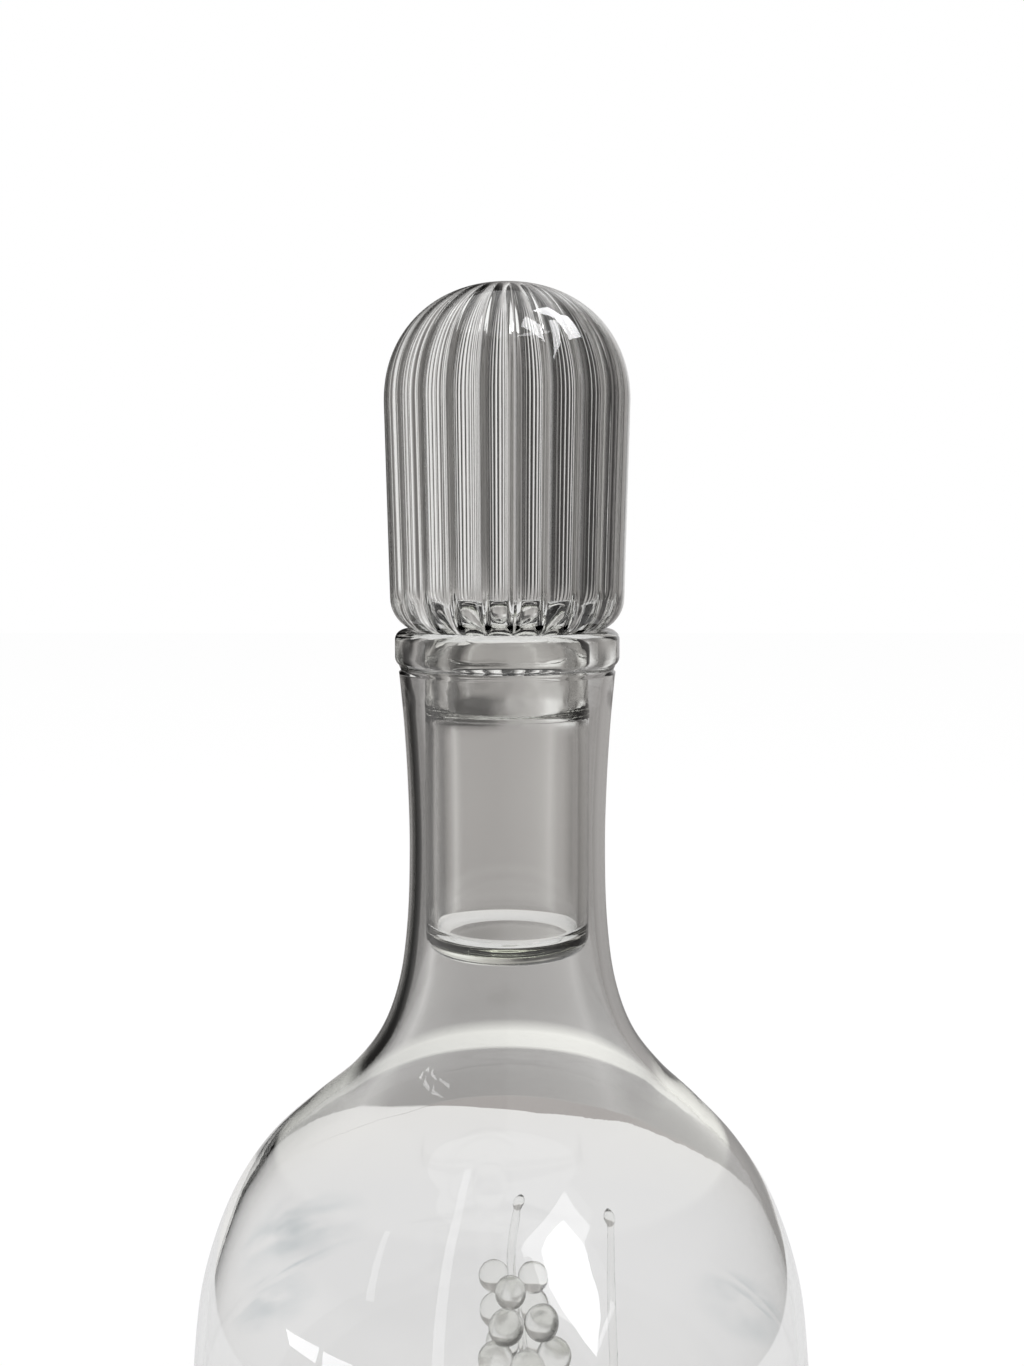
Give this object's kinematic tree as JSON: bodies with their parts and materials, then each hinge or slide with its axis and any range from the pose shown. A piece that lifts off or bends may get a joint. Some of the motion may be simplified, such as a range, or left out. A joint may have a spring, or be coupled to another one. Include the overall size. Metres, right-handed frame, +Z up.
{
  "type": "carafe",
  "caption": "Round-bellied glass carafe with a slim neck, a tall fluted hollow stopper that lifts out, and a bunch of glass grapes standing inside.",
  "frame": {"origin": "middle of the base, on the surface that the carafe stands on", "axes": "+Z up along the carafe's axis, -Y towards the viewer, +X to the viewer's right"},
  "size_m": [0.1204, 0.1204, 0.2646],
  "materials": {
    "vessel_glass": "clear polished blown glass",
    "stopper_glass": "clear polished blown glass with inner flutes",
    "vine_glass": "clear flame-worked glass"
  },
  "bodies": {
    "vessel": {"bunch_stem": "vine_glass", "carafe_body": "vessel_glass", "grape_01": "vine_glass", "grape_02": "vine_glass", "grape_03": "vine_glass", "grape_04": "vine_glass", "grape_05": "vine_glass", "grape_06": "vine_glass", "grape_07": "vine_glass", "grape_08": "vine_glass", "grape_09": "vine_glass", "grape_10": "vine_glass", "grape_11": "vine_glass", "grape_12": "vine_glass", "grape_13": "vine_glass", "grape_14": "vine_glass", "grape_15": "vine_glass", "grape_16": "vine_glass", "grape_17": "vine_glass", "grape_18": "vine_glass", "grape_19": "vine_glass", "grape_20": "vine_glass", "grape_21": "vine_glass", "grape_22": "vine_glass", "grape_23": "vine_glass", "grape_24": "vine_glass", "grape_25": "vine_glass", "grape_26": "vine_glass", "grape_27": "vine_glass", "grape_28": "vine_glass", "grape_29": "vine_glass", "grape_30": "vine_glass", "grape_31": "vine_glass", "grape_32": "vine_glass", "grape_33": "vine_glass", "lip_ring": "vessel_glass", "vine_foot": "vine_glass", "vine_shoot": "vine_glass"},
    "stopper": {"stopper_knob": "stopper_glass", "stopper_collar": "stopper_glass", "stopper_plug": "stopper_glass"}
  },
  "joints": [
    {"name": "stopper_lift", "type": "slide", "parent": "vessel", "child": "stopper", "axis": [0, 0, 1], "range_m": [0, 0.085]}
  ]
}
